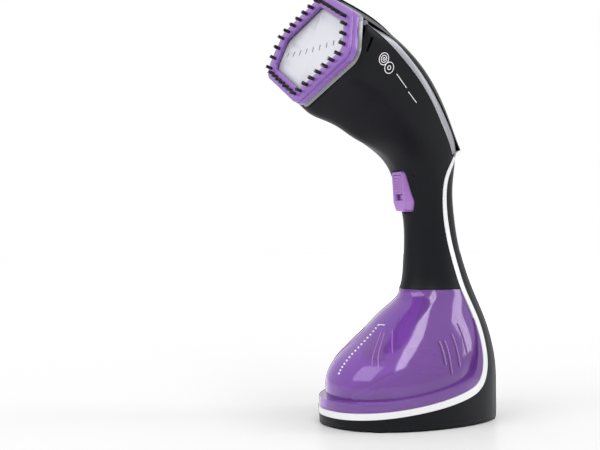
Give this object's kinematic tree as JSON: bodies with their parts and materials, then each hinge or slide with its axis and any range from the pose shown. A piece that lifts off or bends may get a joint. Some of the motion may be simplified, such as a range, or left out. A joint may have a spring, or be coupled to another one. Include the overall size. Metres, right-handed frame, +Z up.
{
  "type": "garment steamer",
  "caption": "Handheld garment steamer with a hexagonal steam plate, curved handle on a wide base, trigger with lock slider, pull-out water tank and a clip-on bristle ring.",
  "frame": {"origin": "middle of the footprint, on the surface it stands on", "axes": "+Z up; the steam plate and the water tank face -Y; x = 0 is the plane of symmetry of the casing"},
  "size_m": [0.1153, 0.1705, 0.3088],
  "materials": {
    "black_casing": "satin black moulded plastic",
    "silver_trim": "metallic grey lacquer",
    "white_plastic": "gloss white",
    "rubber_black": "matte",
    "steel": "plain",
    "cast_aluminium": "as cast",
    "face_plate": "polished",
    "bezel_black": "gloss",
    "tank_clear": "clear violet plastic",
    "violet_plastic": "satin violet",
    "lilac_plastic": "satin lilac",
    "silicone": "translucent white",
    "bristle": "nylon",
    "board_green": "solder mask",
    "copper_coil": "lacquered winding",
    "dark_plastic": "plain"
  },
  "bodies": {
    "casing": {"left_side_shell": "black_casing", "right_side_shell": "black_casing", "top_cover": "black_casing", "left_silver_trim": "silver_trim", "right_silver_trim": "silver_trim", "rear_cover": "black_casing", "white_cradle": "white_plastic", "base_tub": "black_casing", "base_cover": "dark_plastic", "base_screws": "steel", "casing_screws": "steel", "rubber_feet": "rubber_black", "handle_floor": "dark_plastic", "cord_gland": "rubber_black", "tank_socket": "dark_plastic", "pump_body": "steel", "pump_coil": "copper_coil", "pump_bracket": "steel", "suction_tube": "silicone", "delivery_tube": "silicone", "wire_harness": "dark_plastic", "control_board": "board_green", "steam_plate": "face_plate", "bezel": "bezel_black", "steam_chamber": "cast_aluminium", "heating_element": "steel", "chamber_gasket": "silicone", "chamber_cover": "cast_aluminium", "thermostat": "steel", "thermal_fuse": "steel", "trigger_pin": "steel", "trigger_spring": "steel", "microswitch": "dark_plastic"},
    "trigger": {"trigger": "lilac_plastic"},
    "lock_slider": {"lock_slider": "lilac_plastic"},
    "switch_plunger": {"switch_plunger": "dark_plastic"},
    "water_tank": {"tank_body": "tank_clear", "tank_back": "tank_clear", "tank_valve": "lilac_plastic", "pickup_tube": "silicone"},
    "filler_cap": {"filler_cap": "silicone"},
    "brush": {"brush_frame": "violet_plastic", "brush_clip": "violet_plastic", "brush_bristles": "bristle"}
  },
  "joints": [
    {"name": "trigger_swing", "type": "hinge", "parent": "casing", "child": "trigger", "pos_m": [0, -0.0018, 0.1816], "axis": [1, 0, 0], "range_deg": [0, 6], "stiffness_Nm_per_rad": 0.6, "springref_deg": -2.86},
    {"name": "lock_slide", "type": "slide", "parent": "trigger", "child": "lock_slider", "axis": [0, 0.1045, -0.9945], "range_m": [0, 0.0046]},
    {"name": "plunger_press", "type": "slide", "parent": "casing", "child": "switch_plunger", "axis": [0, 0.9945, 0.1045], "range_m": [0, 0.0021]},
    {"name": "tank_pull", "type": "slide", "parent": "casing", "child": "water_tank", "axis": [0, -1, 0], "range_m": [0, 0.13]},
    {"name": "cap_pull", "type": "slide", "parent": "water_tank", "child": "filler_cap", "axis": [-1, 0, 0], "range_m": [0, 0.02]},
    {"name": "brush_pull", "type": "slide", "parent": "casing", "child": "brush", "axis": [0, -0.9613, 0.2756], "range_m": [0, 0.09]}
  ],
  "couplings": [
    {"joint": "plunger_press", "follows": "trigger_swing", "m_per_rad": 0.0188}
  ]
}
